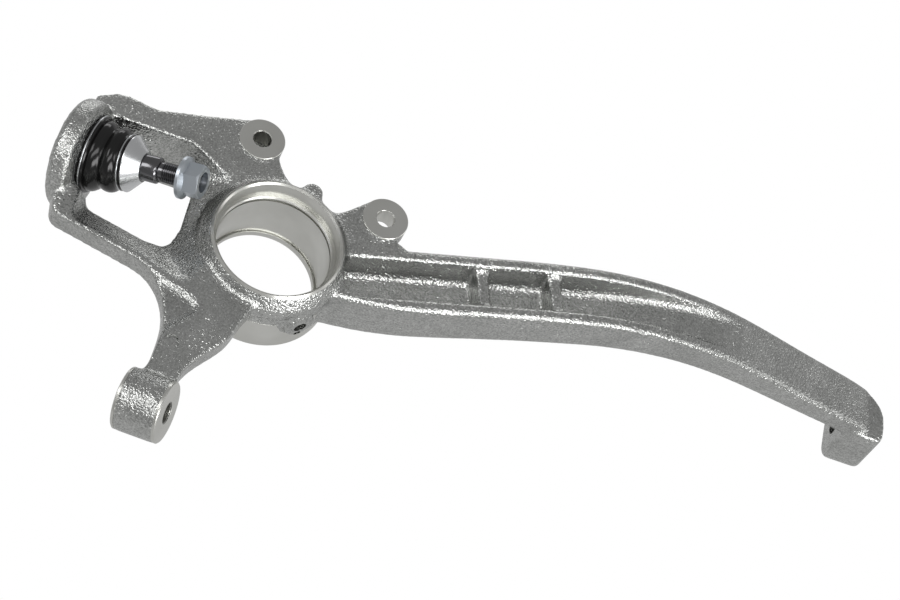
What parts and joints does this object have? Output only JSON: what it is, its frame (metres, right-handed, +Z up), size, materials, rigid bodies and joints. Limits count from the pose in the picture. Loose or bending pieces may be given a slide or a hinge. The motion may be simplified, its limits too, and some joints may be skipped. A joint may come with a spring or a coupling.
{
  "type": "steering knuckle",
  "caption": "Front steering knuckle with a tall arm, bearing bore, caliper ears, steering boss and a pressed-in lower ball joint.",
  "frame": {"origin": "on the wheel axis, halfway along the bearing seat", "axes": "+X forward, +Y inboard along the wheel axis, +Z up"},
  "size_m": [0.2877, 0.1918, 0.6469],
  "materials": {
    "casting": "bright cast grain, machined faces smooth",
    "housing_steel": "turned",
    "seat_plastic": "satin",
    "stud_steel": "polished dark",
    "taper_metal": "turned satin",
    "nut_zinc": "zinc plated",
    "boot_rubber": "smooth black rubber",
    "ring_steel": "bright wire"
  },
  "bodies": {
    "knuckle": {"knuckle_casting": "casting", "ball_joint_housing": "housing_steel", "housing_cap": "housing_steel"},
    "turning_seat": {"ball_seat": "seat_plastic", "dust_boot": "boot_rubber", "boot_ring_large": "ring_steel"},
    "boot_collar": {"boot_ring_small": "ring_steel"},
    "stud": {"ball_stud": "stud_steel", "taper_ring": "taper_metal", "flange_nut": "nut_zinc"}
  },
  "joints": [
    {"name": "stud_swivel", "type": "hinge", "parent": "knuckle", "child": "turning_seat", "pos_m": [-0.0251, -0.02325, -0.1371], "axis": [0.1902, -0.2408, 0.9518], "continuous": true},
    {"name": "stud_tilt", "type": "hinge", "parent": "turning_seat", "child": "boot_collar", "pos_m": [-0.0251, -0.02325, -0.1371], "axis": [0.9749, -0.0677, -0.2119], "range_deg": [-17.85, 2.15], "deforming": ["dust_boot"]},
    {"name": "stud_spin", "type": "hinge", "parent": "boot_collar", "child": "stud", "pos_m": [-0.0251, -0.02325, -0.1371], "axis": [0.1726, -0.3708, 0.9125], "continuous": true}
  ]
}
